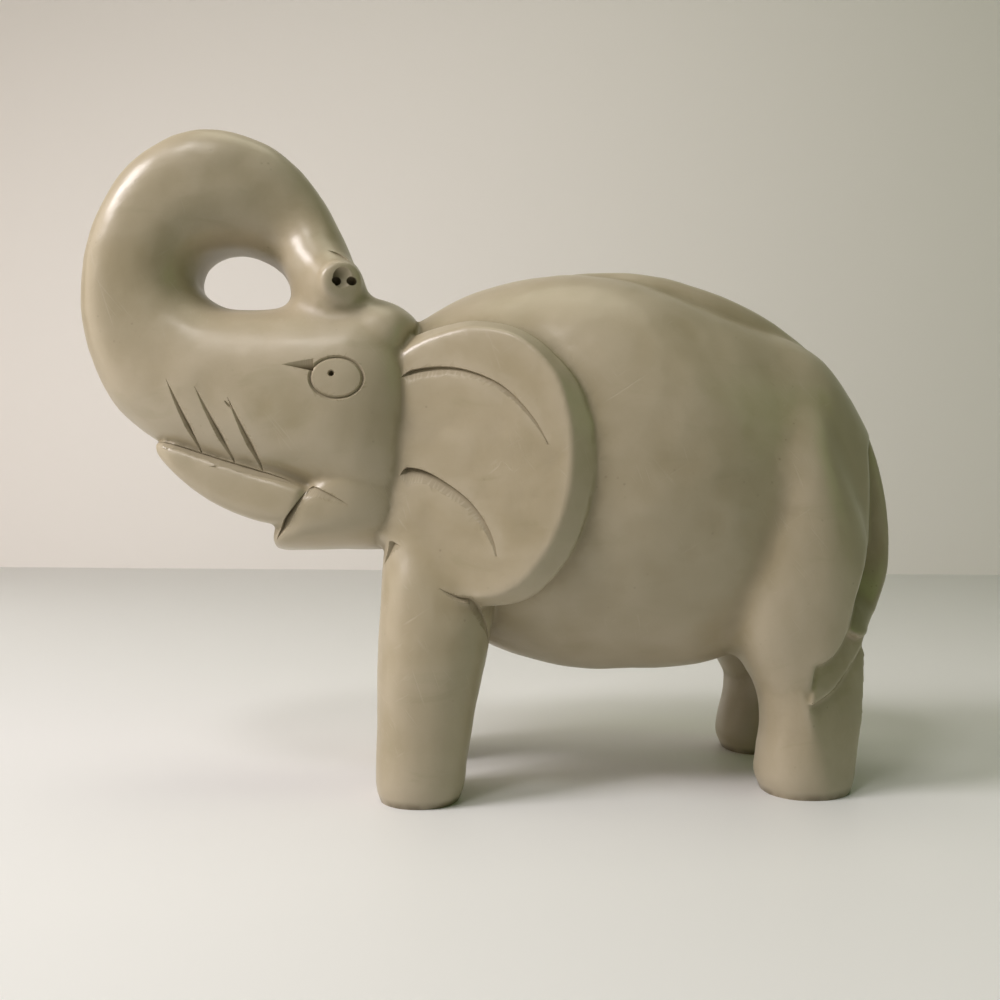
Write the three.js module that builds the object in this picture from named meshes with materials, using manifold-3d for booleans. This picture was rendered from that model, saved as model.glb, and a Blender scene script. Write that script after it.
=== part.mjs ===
// A hand-carved soapstone elephant with its trunk curled up and back onto its forehead.
// Millimetres, +Z up. The elephant faces -X and stands on Z = 0, with the origin under the
// middle of its bounding box. Its left side is at -Y, and the trunk's snout turns to that side.
import * as THREE from "three";
import { mergeVertices } from "three/addons/utils/BufferGeometryUtils.js";
import Module from "manifold-3d";

const wasm = await Module();
wasm.setup();

// Reach of the whole figure, used to size the block of ground and the sight lines
const LENGTH = 206.4;
const WIDTH = 79;
const GROUND_DEPTH = 40;

// Sides of the body
const NEAR = -1;
const FAR = 1;
const SIDES = [NEAR, FAR];

// Legs
const FRONT_LEG_Y = 21;
const REAR_LEG_Y = 22;
const FAR_REAR_LEG_SET_BACK = 3;

// Snout at the trunk's end
const SNOUT_TIP = new THREE.Vector3(-37.3, -20, 120.9);
const SNOUT_DIRECTION = new THREE.Vector3(0.42, -0.88, -0.23).normalize();
const NOSTRIL_RADIUS = 1.3;
const NOSTRIL_DEPTH = 5;
const NOSTRIL_SPACING = 3.8;

// Ear: its flat face leans out from the head towards the rear rim
const EAR_REACH_AT_HEAD = 28;
const EAR_HEAD_X = -24;
const EAR_LEAN = 0.285;
const EAR_THICKNESS = 16;
const EAR_BEVEL_SIZE = 4;
const EAR_BEVEL_DEPTH = 4;
const EAR_BEVEL_STEPS = 2;

// Cuts in the surface
const STROKE_HALF_WIDTH = 1.3;
const STROKE_DEPTH = 1.5;
const FOLD_HALF_WIDTH = 1.1;
const FOLD_DEPTH = 1.2;
const MOUTH_HALF_WIDTH = 0.7;
const MOUTH_DEPTH = 0.9;
const EYE_RADIUS = 6;
const EYE_RING_HALF_WIDTH = 0.8;
const PUPIL_RADIUS = 1;

// Stone finish
const stone = new THREE.MeshStandardMaterial({ color: 0xa89a80, roughness: 0.5, metalness: 0 });

// A point of the side view, X and Z
const at = (x, z) => new THREE.Vector2(x, z);

// A rib joins a point of the upper or front outline to its partner on the lower or rear outline.
// halfWidth is its reach in Y on each side of its centre y.
const rib = (upper, lower, halfWidth, y = 0) => ({ upper, lower, halfWidth, y });

// Turns a closed three.js geometry into a solid that can be joined and cut. A grid that was
// wrapped the other way round, or mirrored, has its triangles turned to face out.
function solidOf(geometry) {
  const bare = geometry.clone();
  bare.deleteAttribute("normal");
  bare.deleteAttribute("uv");
  const merged = mergeVertices(bare, 1e-4);
  const vertProperties = merged.attributes.position.array;
  const triVerts = new Uint32Array(merged.index.array);
  const made = new wasm.Manifold(new wasm.Mesh({ numProp: 3, vertProperties, triVerts }));
  if (made.volume() > 0) return made;
  triVerts.reverse();
  return new wasm.Manifold(new wasm.Mesh({ numProp: 3, vertProperties, triVerts }));
}

// The geometry of a finished solid
function geometryOf(solid) {
  const mesh = solid.getMesh();
  const geometry = new THREE.BufferGeometry();
  geometry.setAttribute("position", new THREE.BufferAttribute(mesh.vertProperties, 3));
  geometry.setIndex(new THREE.BufferAttribute(mesh.triVerts, 1));
  geometry.computeVertexNormals();
  return geometry;
}

const join = (solids) => solids.reduce((whole, piece) => whole.add(piece));

// Swelling of a section towards a square: 2 is an ellipse, more is fuller at the corners
const swell = (value, fullness) => Math.sign(value) * Math.abs(value) ** (2 / fullness);

// Shrinks the section to a round end over the first and last shares of the length
function dome(v, startShare, endShare) {
  const fromStart = Math.min(v / startShare, 1);
  const fromEnd = Math.min((1 - v) / endShare, 1);
  return Math.sqrt(1 - (1 - fromStart) ** 2) * Math.sqrt(1 - (1 - fromEnd) ** 2);
}

// Wraps a sphere's grid round ribs, so that the solid fills the two outlines that they join
function wrapped(ribs, { columns, rows, fullness, startShare, endShare }) {
  const upper = new THREE.CatmullRomCurve3(
    ribs.map((r) => new THREE.Vector3(r.upper.x, r.halfWidth, r.upper.y)),
  );
  const lower = new THREE.CatmullRomCurve3(
    ribs.map((r) => new THREE.Vector3(r.lower.x, r.y, r.lower.y)),
  );
  const geometry = new THREE.SphereGeometry(1, columns, rows);
  const position = geometry.attributes.position;
  for (let row = 0; row <= rows; row++) {
    // Rows stand a little closer together at the two ends, where the solid closes
    const v = (row / rows + (1 - Math.cos((Math.PI * row) / rows)) / 2) / 2;
    const a = upper.getPoint(v);
    const b = lower.getPoint(v);
    const size = dome(v, startShare, endShare);
    for (let column = 0; column <= columns; column++) {
      const angle = (2 * Math.PI * (column % columns)) / columns;
      const up = (swell(Math.cos(angle), fullness) * size) / 2;
      const out = swell(Math.sin(angle), fullness) * size;
      position.setXYZ(
        row * (columns + 1) + column,
        (a.x + b.x) / 2 + (a.x - b.x) * up,
        b.y + a.y * out,
        (a.z + b.z) / 2 + (a.z - b.z) * up,
      );
    }
  }
  return solidOf(geometry);
}

// Barrel of the body, from the neck to the rump
function torso() {
  return wrapped(
    [
      rib(at(-36, 106), at(-36, 66), 24),
      rib(at(-20, 115.6), at(-22, 48), 29),
      rib(at(-7, 122.6), at(-6, 35), 33),
      rib(at(13, 127.4), at(14, 27.8), 35.5),
      rib(at(31, 127.8), at(32, 26.6), 37.5),
      rib(at(51, 124), at(50, 27.8), 37.5),
      rib(at(65.6, 117.6), at(65, 32.6), 34.5),
      rib(at(78.4, 109.2), at(78, 37), 28),
      rib(at(87.4, 99), at(86, 45), 20),
      rib(at(92.8, 87), at(92, 57), 10),
    ],
    { columns: 26, rows: 20, fullness: 2.15, startShare: 0.06, endShare: 0.1 },
  );
}

// Head and trunk: one mass from the back of the skull, round the curl and down to the tip
function headAndTrunk() {
  return wrapped(
    [
      rib(at(-20.6, 113.5), at(-24, 62), 22),
      rib(at(-23, 118.6), at(-31, 60), 25),
      rib(at(-30, 120.8), at(-38, 65), 26),
      rib(at(-43, 118.6), at(-50, 71.5), 25),
      rib(at(-57, 117.4), at(-68, 76.8), 22.5),
      rib(at(-66.5, 117.2), at(-83, 83.2), 20),
      rib(at(-71.5, 119.2), at(-93.6, 92.6), 18),
      rib(at(-74.6, 122.4), at(-100.4, 106.4), 17),
      rib(at(-75.2, 126), at(-102.6, 122), 16.5),
      rib(at(-73.5, 129.6), at(-99, 138.2), 16.5),
      rib(at(-69.5, 131.6), at(-90.4, 152.4), 16),
      rib(at(-64, 132), at(-74.5, 161.6), 15.5),
      rib(at(-58.6, 130), at(-57.6, 158.2), 14.5),
      rib(at(-54.4, 126.6), at(-46.4, 148.2), 13.5),
      rib(at(-51.8, 121.8), at(-39.4, 136.6), 12.5, -1),
      rib(at(-50.6, 116.5), at(-34.8, 125.5), 11.5, -2),
      rib(at(-46, 112), at(-32.5, 117), 9, -3),
    ],
    { columns: 22, rows: 42, fullness: 2.35, startShare: 0.05, endShare: 0.03 },
  );
}

// Turns a shape that was made along +Y to a direction, and sets it at a place
function aimed(geometry, place, direction) {
  const turn = new THREE.Quaternion().setFromUnitVectors(new THREE.Vector3(0, 1, 0), direction);
  return solidOf(geometry.applyQuaternion(turn).translate(place.x, place.y, place.z));
}

// Stub of the snout, before its nostrils are bored
function snout() {
  const profile = [
    at(0, -15),
    at(8.2, -15),
    at(8, -12),
    at(7.2, -8),
    at(6.4, -4),
    at(5.6, -1.2),
    at(4.4, 0),
    at(0, 0.2),
  ];
  return aimed(new THREE.LatheGeometry(profile, 16), SNOUT_TIP, SNOUT_DIRECTION);
}

function nostril(side) {
  const place = SNOUT_TIP.clone().add(new THREE.Vector3((side * NOSTRIL_SPACING) / 2, 0, 0.3));
  const bore = new THREE.CylinderGeometry(NOSTRIL_RADIUS, NOSTRIL_RADIUS * 0.7, NOSTRIL_DEPTH, 10);
  return aimed(bore, place, SNOUT_DIRECTION);
}

// Tusk in low relief along the lower edge of the face
function tusk(side) {
  return wrapped(
    [
      rib(at(-44.5, 71.4), at(-50, 63), 6, side * 17),
      rib(at(-51, 73.4), at(-56, 64.3), 6, side * 16.5),
      rib(at(-60, 76.2), at(-65, 67), 6, side * 15),
      rib(at(-70, 79.2), at(-73, 71.6), 5.6, side * 13.6),
      rib(at(-79, 82), at(-79.6, 77.6), 4, side * 13),
      rib(at(-83.2, 83), at(-82.8, 81), 1.4, side * 12.5),
    ],
    { columns: 12, rows: 12, fullness: 3.2, startShare: 0.04, endShare: 0.04 },
  );
}

// Lip between the tusks, under the trunk
function upperLip() {
  return wrapped(
    [
      rib(at(-34, 90), at(-40, 64), 20),
      rib(at(-50, 88), at(-55, 65.2), 18.5),
      rib(at(-66, 90), at(-67, 69.4), 15.5),
      rib(at(-82, 92), at(-78.5, 78.5), 11),
    ],
    { columns: 14, rows: 8, fullness: 2.6, startShare: 0.1, endShare: 0.12 },
  );
}

// Lower jaw, blunt at its tip
function lowerJaw() {
  return wrapped(
    [
      rib(at(-16, 76), at(-16, 57.4), 25),
      rib(at(-30, 75), at(-31, 57.4), 24),
      rib(at(-40, 74), at(-42, 57.2), 22),
      rib(at(-49, 73), at(-51, 57.4), 18.5),
      rib(at(-54, 64), at(-55.4, 58.2), 15),
    ],
    { columns: 20, rows: 12, fullness: 4, startShare: 0.04, endShare: 0.06 },
  );
}

// Wedge of the open mouth, right through between the jaw and the tusks
function mouthNotch() {
  const profile = new THREE.Shape([at(-46.4, 73.4), at(-55.4, 63.6), at(-63, 54), at(-55.7, 59.4)]);
  const wedge = new THREE.ExtrudeGeometry(profile, { depth: WIDTH, bevelEnabled: false });
  return solidOf(wedge.rotateX(Math.PI / 2).translate(0, WIDTH / 2, 0));
}

// Reach of the ear's flat face from the middle plane
const earReach = (x) => EAR_REACH_AT_HEAD + (x - EAR_HEAD_X) * EAR_LEAN;

// Ear: a D-shaped leaf with a bevelled rim, its lower lobe lying over the front leg
function ear(side) {
  const outline = new THREE.Shape();
  outline.moveTo(-30, 98);
  outline.lineTo(-29, 62);
  outline.splineThru([
    at(-20.5, 54.6),
    at(-13, 50.4),
    at(-5.6, 49.6),
    at(1.6, 52.4),
    at(8.4, 58.8),
    at(12.2, 67.2),
    at(13.8, 76.5),
    at(13.4, 87),
    at(9.8, 97),
    at(2, 104.4),
    at(-7.6, 107.2),
    at(-16, 106.2),
    at(-24, 103.2),
  ]);
  const leaf = new THREE.ExtrudeGeometry(outline, {
    depth: EAR_THICKNESS - 2 * EAR_BEVEL_DEPTH,
    bevelThickness: EAR_BEVEL_DEPTH,
    bevelSize: EAR_BEVEL_SIZE,
    bevelSegments: EAR_BEVEL_STEPS,
    curveSegments: 3,
  });
  // The outline's X and Y become X and Z; its depth runs out sideways to the leaning face
  const lean = new THREE.Matrix4();
  lean.makeBasis(
    new THREE.Vector3(1, side * EAR_LEAN, 0),
    new THREE.Vector3(0, 0, 1),
    new THREE.Vector3(0, side, 0),
  );
  lean.setPosition(0, side * (earReach(0) - EAR_THICKNESS + EAR_BEVEL_DEPTH), 0);
  return solidOf(leaf.applyMatrix4(lean));
}

// Front leg, run on below the ground so that the foot is cut off flat
function frontLeg(side) {
  const y = side * FRONT_LEG_Y;
  return wrapped(
    [
      rib(at(-27, 72), at(-6, 72), 9, y * 0.9),
      rib(at(-29.4, 60), at(-2, 60), 10.4, y * 0.95),
      rib(at(-29.6, 44), at(-2.6, 44), 11.4, y * 0.98),
      rib(at(-29.8, 30), at(-4.8, 30), 11.6, y),
      rib(at(-30, 14), at(-8.2, 14), 11.2, y),
      rib(at(-30.4, 4), at(-9.2, 4), 11, y),
      rib(at(-29.4, -3), at(-10.6, -3), 10, y),
    ],
    { columns: 18, rows: 12, fullness: 2.15, startShare: 0.12, endShare: 0.02 },
  );
}

// Thigh and rear leg, run on below the ground. The far one stands further back.
function rearLeg(side) {
  const back = side === FAR ? FAR_REAR_LEG_SET_BACK : 0;
  const y = side * REAR_LEG_Y;
  return wrapped(
    [
      rib(at(66 + back, 98), at(80, 98), 8, y * 0.82),
      rib(at(62 + back, 80), at(85, 78), 12.5, y * 0.9),
      rib(at(58.6 + back, 56), at(86, 54), 14, y * 0.93),
      rib(at(57.4 + back, 38), at(84.6, 36), 13, y * 0.97),
      rib(at(60.6 + 1.5 * back, 25), at(84.4 + back / 2, 24), 11.6, y),
      rib(at(61.6 + back, 14), at(83 + back, 14), 11, y),
      rib(at(60 + back, 5), at(81.4 + back, 5), 11, y),
      rib(at(61 + back, -3), at(80.4 + back, -3), 10.4, y),
    ],
    { columns: 18, rows: 15, fullness: 2.15, startShare: 0.2, endShare: 0.02 },
  );
}

// Tail: a strap down the rump that swings over the near rear leg and ends in a point
function tail() {
  return wrapped(
    [
      rib(at(86, 101), at(80, 96), 3),
      rib(at(94.8, 91), at(86, 86), 3.8),
      rib(at(100.6, 78), at(88, 75), 4.2),
      rib(at(103, 64), at(90, 65), 4.4),
      rib(at(102, 51), at(90, 55), 4.6, -1),
      rib(at(97, 40), at(87, 49), 5.6, -5.5),
      rib(at(91.6, 33.4), at(82.5, 43.5), 6.6, -13.5),
      rib(at(86, 29.6), at(77.5, 38.5), 6, -22.5),
      rib(at(79.5, 26.2), at(73, 33.8), 4.4, -29.4),
      rib(at(73.4, 23.4), at(71, 29), 2.6, -33),
      rib(at(69.6, 21.8), at(69.4, 24), 1.4, -34.2),
    ],
    { columns: 10, rows: 24, fullness: 3, startShare: 0.05, endShare: 0.03 },
  );
}

// Finds how far a solid reaches from the middle plane on one side, at a point of the side view
function reachFinder(solid, side) {
  const skin = new THREE.Mesh(geometryOf(solid), stone);
  const ray = new THREE.Raycaster();
  const inward = new THREE.Vector3(0, -side, 0);
  return (x, z) => {
    ray.set(new THREE.Vector3(x, side * WIDTH, z), inward);
    return ray.intersectObject(skin)[0].point.y * side;
  };
}

// Lays a cutter, made flat against the middle plane, onto the outside of the body
function laidOn(cutter, side, reachAt) {
  const position = cutter.attributes.position;
  for (let i = 0; i < position.count; i++) {
    const reach = reachAt(position.getX(i), position.getZ(i));
    position.setY(i, position.getY(i) + side * reach);
  }
  return solidOf(cutter);
}

// Knife cut along a route in the side view: diamond in section, fading out at both ends
function knifeCut(route, halfWidth, depth) {
  const path = new THREE.CatmullRomCurve3(route.map((p) => new THREE.Vector3(p.x, 0, p.y)));
  const cut = new THREE.CylinderGeometry(1, 1, 1, 4, 4 * (route.length - 1));
  const position = cut.attributes.position;
  const sideways = new THREE.Vector3(0, 1, 0);
  for (let i = 0; i < position.count; i++) {
    const along = 0.5 - position.getY(i);
    const size = Math.max(Math.sin(Math.PI * along), 0.06) ** 0.6;
    const across = path.getTangent(along).cross(sideways);
    const place = path
      .getPoint(along)
      .addScaledVector(across, position.getX(i) * halfWidth * size)
      .addScaledVector(sideways, position.getZ(i) * depth * size);
    position.setXYZ(i, place.x, place.y, place.z);
  }
  return cut;
}

// Three slanting strokes in the cheek, and the line that runs back from the mouth
const cheekCuts = () => [
  knifeCut([at(-78, 96.8), at(-71.2, 81)], STROKE_HALF_WIDTH, STROKE_DEPTH),
  knifeCut([at(-71.4, 95.2), at(-63.2, 78.6)], STROKE_HALF_WIDTH, STROKE_DEPTH),
  knifeCut([at(-63.8, 92.6), at(-56.5, 76.6)], STROKE_HALF_WIDTH, STROKE_DEPTH),
  knifeCut([at(-46, 72.6), at(-36, 68.8)], MOUTH_HALF_WIDTH, MOUTH_DEPTH),
];

// Eye: a ring, a drilled pupil and a wedge at the front corner
function eyeCuts() {
  const ring = new THREE.TorusGeometry(EYE_RADIUS, EYE_RING_HALF_WIDTH, 4, 20);
  const pupil = new THREE.SphereGeometry(PUPIL_RADIUS, 8, 6);
  const corner = knifeCut([at(-13.4, 3.2), at(-3.6, 2)], 1.6, 1.2);
  return [ring.rotateX(Math.PI / 2), pupil, corner].map((cut) => cut.translate(-39, 0, 98));
}

// Two folds of the ear
const earCuts = () => [
  knifeCut(
    [at(-24, 99), at(-17.6, 100.5), at(-11, 100.1), at(-2.1, 96.2), at(4.5, 89.6), at(8.5, 83)],
    FOLD_HALF_WIDTH,
    FOLD_DEPTH,
  ),
  knifeCut(
    [at(-26, 76.4), at(-21, 77), at(-14.3, 74.3), at(-8.8, 69.7), at(-4.3, 63.2), at(-2.6, 57.5)],
    FOLD_HALF_WIDTH,
    FOLD_DEPTH,
  ),
];

function elephantSolid() {
  const ground = new THREE.BoxGeometry(2 * LENGTH, 2 * WIDTH, GROUND_DEPTH);
  ground.translate(0, 0, -GROUND_DEPTH / 2);
  const face = join([headAndTrunk(), upperLip(), ...SIDES.map(tusk), lowerJaw()]);
  const head = face.subtract(mouthNotch()).add(snout());
  const cuts = SIDES.flatMap((side) => {
    const headReach = reachFinder(head, side);
    return [
      ...[...cheekCuts(), ...eyeCuts()].map((cut) => laidOn(cut, side, headReach)),
      ...earCuts().map((cut) => laidOn(cut, side, earReach)),
      nostril(side),
    ];
  });
  const limbs = SIDES.flatMap((side) => [frontLeg(side), rearLeg(side), ear(side)]);
  return join([torso(), head, tail(), ...limbs]).subtract(join([...cuts, solidOf(ground)]));
}

// Sets the middle of the figure's length over the origin
const carving = geometryOf(elephantSolid());
carving.computeBoundingBox();
carving.translate(-(carving.boundingBox.min.x + carving.boundingBox.max.x) / 2, 0, 0);

const elephant = new THREE.Mesh(carving, stone);
elephant.name = "elephant";

const figurine = new THREE.Group();
figurine.add(elephant);

export default figurine;
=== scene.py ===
"""A carved soapstone elephant, its trunk curled up and back onto its forehead.

The elephant faces -X and stands on Z = 0. Its left side, at -Y, is the near one. Fields and
constants hold millimetres, and the meshes are made in metres. The carving is worked as a carver
works the stone: soft masses first, then the crisp forms, then the rubbing, then the knife cuts.
"""

from __future__ import annotations

import logging
import math
from dataclasses import dataclass, field
from enum import Enum
from typing import ClassVar

import bmesh
import bpy
import numpy as np
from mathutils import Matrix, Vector
from mathutils.bvhtree import BVHTree


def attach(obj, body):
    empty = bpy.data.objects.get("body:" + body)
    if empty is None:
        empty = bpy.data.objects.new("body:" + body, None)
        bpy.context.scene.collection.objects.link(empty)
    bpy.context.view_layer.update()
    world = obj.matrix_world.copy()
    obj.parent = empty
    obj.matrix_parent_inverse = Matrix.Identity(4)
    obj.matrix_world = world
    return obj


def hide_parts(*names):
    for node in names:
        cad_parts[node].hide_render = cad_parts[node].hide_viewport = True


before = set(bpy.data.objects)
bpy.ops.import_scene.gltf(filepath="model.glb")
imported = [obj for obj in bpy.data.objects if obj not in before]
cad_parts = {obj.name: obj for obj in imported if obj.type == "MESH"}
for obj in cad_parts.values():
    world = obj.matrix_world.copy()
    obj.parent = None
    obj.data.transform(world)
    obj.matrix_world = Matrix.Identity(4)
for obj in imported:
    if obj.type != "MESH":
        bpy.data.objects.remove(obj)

LOG = logging.getLogger("elephant")

MM = 0.001
CAD_NODE = "elephant"

# Moves the forms, whose sizes are measured from the neck, onto the frame's origin
FRAME_SHIFT_X = -0.21

Point = tuple[float, float]
Place = tuple[float, float, float]
Route = tuple[Point, ...]
Colour = tuple[float, float, float]


class Side(Enum):
    """Sides of the body, by the sign of Y."""

    NEAR = -1
    FAR = 1


class Taper(Enum):
    """How a knife cut swells and fades along its way."""

    LEAF = "leaf"
    BLADE = "blade"
    TAIL = "tail"
    WEDGE = "wedge"

    def size(self, share: float) -> float:
        """Gives the cut's size at a share of its length.

        Args:
            share: Place along the cut, from 0 to 1.

        Returns:
            The size there, as a share of the full one.
        """
        smallest = 0.04
        if self is Taper.LEAF:
            return max(math.sin(math.pi * share), smallest) ** 0.75
        if self is Taper.BLADE:
            widest = 0.62
            side = share / widest if share < widest else (1 - share) / (1 - widest)
            return max(side, smallest) ** 0.7
        if self is Taper.TAIL:
            return max(1 - share, smallest) ** 0.6 * min(smallest + share * 14, 1)
        return max(share, smallest)


def select_only(thing: bpy.types.Object) -> None:
    """Selects one object and makes it the active one."""
    bpy.ops.object.select_all(action="DESELECT")
    thing.select_set(True)
    bpy.context.view_layer.objects.active = thing


def joined(name: str, things: list[bpy.types.Object]) -> bpy.types.Object:
    """Joins several objects into one.

    Args:
        name: Name of the joined object.
        things: Objects to join. They are used up.

    Returns:
        The joined object.
    """
    select_only(things[0])
    for thing in things:
        thing.select_set(True)
    bpy.ops.object.join()
    things[0].name = name
    return things[0]


def apply_modifier(thing: bpy.types.Object, kind: str, **settings: object) -> None:
    """Adds a modifier to an object, sets it and applies it.

    Args:
        thing: Object to change.
        kind: Type of the modifier.
        settings: Values of the modifier's own properties.
    """
    select_only(thing)
    modifier = thing.modifiers.new(kind.lower(), kind)
    for name, value in settings.items():
        setattr(modifier, name, value)
    bpy.ops.object.modifier_apply(modifier=modifier.name)


def refine(thing: bpy.types.Object, voxel: float) -> None:
    """Turns overlapping forms into one even skin.

    Args:
        thing: Object to change.
        voxel: Width of the skin's facets.
    """
    coarser = 1.0
    apply_modifier(thing, "REMESH", mode="VOXEL", voxel_size=voxel * coarser * MM)


def rub(thing: bpy.types.Object, passes: int, group: str = "") -> None:
    """Rubs the skin smooth.

    Args:
        thing: Object to change.
        passes: How often each point moves towards its neighbours.
        group: Vertex group that limits the rubbing, or nothing for all of the skin.
    """
    apply_modifier(thing, "SMOOTH", factor=0.5, iterations=passes, vertex_group=group)


def positions(thing: bpy.types.Object) -> np.ndarray:
    """Gives the points of a mesh as rows of X, Y and Z in millimetres."""
    flat = np.empty(len(thing.data.vertices) * 3, np.float32)
    thing.data.vertices.foreach_get("co", flat)
    return flat.reshape(-1, 3).astype(float) / MM


def place_points(thing: bpy.types.Object, rows: np.ndarray) -> None:
    """Moves the points of a mesh to rows of X, Y and Z in millimetres."""
    thing.data.vertices.foreach_set("co", (rows * MM).astype(np.float32).ravel())
    thing.data.update()


def edge_ends(thing: bpy.types.Object) -> np.ndarray:
    """Gives the numbers of the two points of each edge."""
    ends = np.empty(len(thing.data.edges) * 2, np.int32)
    thing.data.edges.foreach_get("vertices", ends)
    return ends.reshape(-1, 2)


def neighbour_means(rows: np.ndarray, edges: np.ndarray) -> np.ndarray:
    """Gives, for each row, the mean of the rows that an edge joins to it."""
    start, end = edges.T
    counts = np.bincount(start, minlength=len(rows)) + np.bincount(end, minlength=len(rows))
    sums = [
        np.bincount(start, column[end], len(rows)) + np.bincount(end, column[start], len(rows))
        for column in rows.T
    ]
    return np.stack(sums, axis=1) / np.maximum(counts, 1)[:, None]


def rub_near(thing: bpy.types.Object, centre: Place, radius: float, passes: int) -> None:
    """Rubs the skin round one place.

    Args:
        thing: Object to change.
        centre: Place that is rubbed most.
        radius: Distance at which the rubbing ends.
        passes: How often each point moves towards its neighbours.
    """
    rows = positions(thing)
    distance = np.linalg.norm(rows - np.array(centre), axis=1)
    weight = np.clip(2 * (1 - distance / radius), 0, 1)
    near = distance < radius + 3
    numbers = np.cumsum(near) - 1
    edges = edge_ends(thing)
    edges = numbers[edges[near[edges].all(axis=1)]]
    part, share = rows[near], 0.5 * weight[near, None]
    for _ in range(passes // (1)):
        part += share * (neighbour_means(part, edges) - part)
    rows[near] = part
    place_points(thing, rows)


def weigh(thing: bpy.types.Object, name: str, weights: np.ndarray) -> None:
    """Writes a vertex group.

    Args:
        thing: Object that gets the group.
        name: Name of the group.
        weights: One weight from 0 to 1 for each point.
    """
    group = thing.vertex_groups.get(name) or thing.vertex_groups.new(name=name)
    steps = 16
    levels = np.round(np.clip(weights, 0, 1) * steps).astype(int)
    for level in range(1, steps + 1):
        group.add(np.nonzero(levels == level)[0].tolist(), level / steps, "REPLACE")


@dataclass(frozen=True)
class Curve:
    """Smooth curve through rows of numbers, one row for each stop on its way."""

    stops: np.ndarray

    def at(self, shares: np.ndarray) -> np.ndarray:
        """Gives the curve's values.

        Args:
            shares: Places along the curve from 0 to 1, the stops evenly spaced in it.

        Returns:
            One row for each share.
        """
        stops = self.stops
        gaps = np.sqrt(np.maximum(np.linalg.norm(np.diff(stops, axis=0), axis=1), 1e-6))
        slopes = np.diff(stops, axis=0) / gaps[:, None]
        turns = slopes[:-1] * gaps[1:, None] + slopes[1:] * gaps[:-1, None]
        inner = turns / (gaps[:-1] + gaps[1:])[:, None]
        first, last = (inner[0], inner[-1]) if len(inner) else (slopes[0], slopes[0])
        tangents = np.vstack([2 * slopes[0] - first, inner, 2 * slopes[-1] - last])
        along = np.clip(np.asarray(shares, float), 0, 1) * (len(stops) - 1)
        leg = np.minimum(along.astype(int), len(stops) - 2)
        t = (along - leg)[:, None]
        gap = gaps[leg][:, None]
        return (
            stops[leg] * (2 * t**3 - 3 * t**2 + 1)
            + tangents[leg] * gap * (t**3 - 2 * t**2 + t)
            + stops[leg + 1] * (3 * t**2 - 2 * t**3)
            + tangents[leg + 1] * gap * (t**3 - t**2)
        )


def extruded(name: str, sections: np.ndarray) -> bpy.types.Object:
    """Makes a closed form by extruding a ring of points from section to section.

    Args:
        name: Name of the form.
        sections: Places of the ring's points in each section, in millimetres.

    Returns:
        The form, its two ends closed.
    """
    bpy.ops.object.select_all(action="DESELECT")
    bpy.ops.mesh.primitive_circle_add(vertices=sections.shape[1], fill_type="NGON")
    form = bpy.context.object
    form.name = name
    bpy.ops.object.mode_set(mode="EDIT")
    for row, section in enumerate(sections):
        if row:
            bpy.ops.mesh.extrude_region()
        shape = bmesh.from_edit_mesh(form.data)
        shape.faces.ensure_lookup_table()
        cap = next(face for face in reversed(shape.faces[:]) if face.select)
        for vertex, place in zip(cap.verts, section * MM):
            vertex.co = place
        bmesh.update_edit_mesh(form.data)
    bpy.ops.mesh.select_all(action="SELECT")
    bpy.ops.mesh.normals_make_consistent(inside=False)
    bpy.ops.object.mode_set(mode="OBJECT")
    return form


def rib(upper: Point, lower: Point, half_width: float, y: float = 0.0) -> tuple[float, ...]:
    """Describes a cross-section of a form.

    Args:
        upper: X and Z where it meets the upper or front outline.
        lower: X and Z where it meets the lower or rear outline.
        half_width: Reach in Y on each side of its middle.
        y: Y of its middle.

    Returns:
        The six numbers as one row.
    """
    return (*upper, *lower, half_width, y)


@dataclass(frozen=True)
class Mass:
    """Rounded mass wrapped round ribs."""

    name: str
    ribs: tuple[tuple[float, ...], ...]
    fullness: float = 2.2
    # Fullness of the half of each section at the lower or rear outline, or 0 for the same
    lower_fullness: float = 0.0
    start_share: float = 0.06
    end_share: float = 0.06
    columns: int = 72
    rows: int = 64

    def sections(self) -> np.ndarray:
        """Gives the points of each section, the two ends drawn in to domes."""
        even = np.linspace(0, 1, self.rows)
        shares = (even + (1 - np.cos(np.pi * even)) / 2) / 2
        rows = Curve(np.array(self.ribs)).at(shares)
        from_start = np.minimum(shares / self.start_share, 1)
        from_end = np.minimum((1 - shares) / self.end_share, 1)
        size = np.sqrt(1 - (1 - from_start) ** 2) * np.sqrt(1 - (1 - from_end) ** 2)
        size = np.maximum(size, 0.02)[:, None]
        angle = np.linspace(0, 2 * np.pi, self.columns, endpoint=False)
        lower_half = np.cos(angle) < 0
        fullness = np.where(lower_half, self.lower_fullness or self.fullness, self.fullness)
        up = self.swell(np.cos(angle), fullness) * size / 2
        out = self.swell(np.sin(angle), fullness) * size
        upper, lower, half_width, y = rows[:, 0:2], rows[:, 2:4], rows[:, 4:5], rows[:, 5:6]
        x = (upper[:, :1] + lower[:, :1]) / 2 + (upper[:, :1] - lower[:, :1]) * up
        z = (upper[:, 1:] + lower[:, 1:]) / 2 + (upper[:, 1:] - lower[:, 1:]) * up
        return np.stack([x, y + half_width * out, z], axis=-1)

    @staticmethod
    def swell(value: np.ndarray, fullness: np.ndarray) -> np.ndarray:
        """Swells a section from an ellipse towards a square."""
        return np.sign(value) * np.abs(value) ** (2 / fullness)

    def build(self) -> bpy.types.Object:
        """Makes the mass."""
        return extruded(self.name, self.sections())


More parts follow.
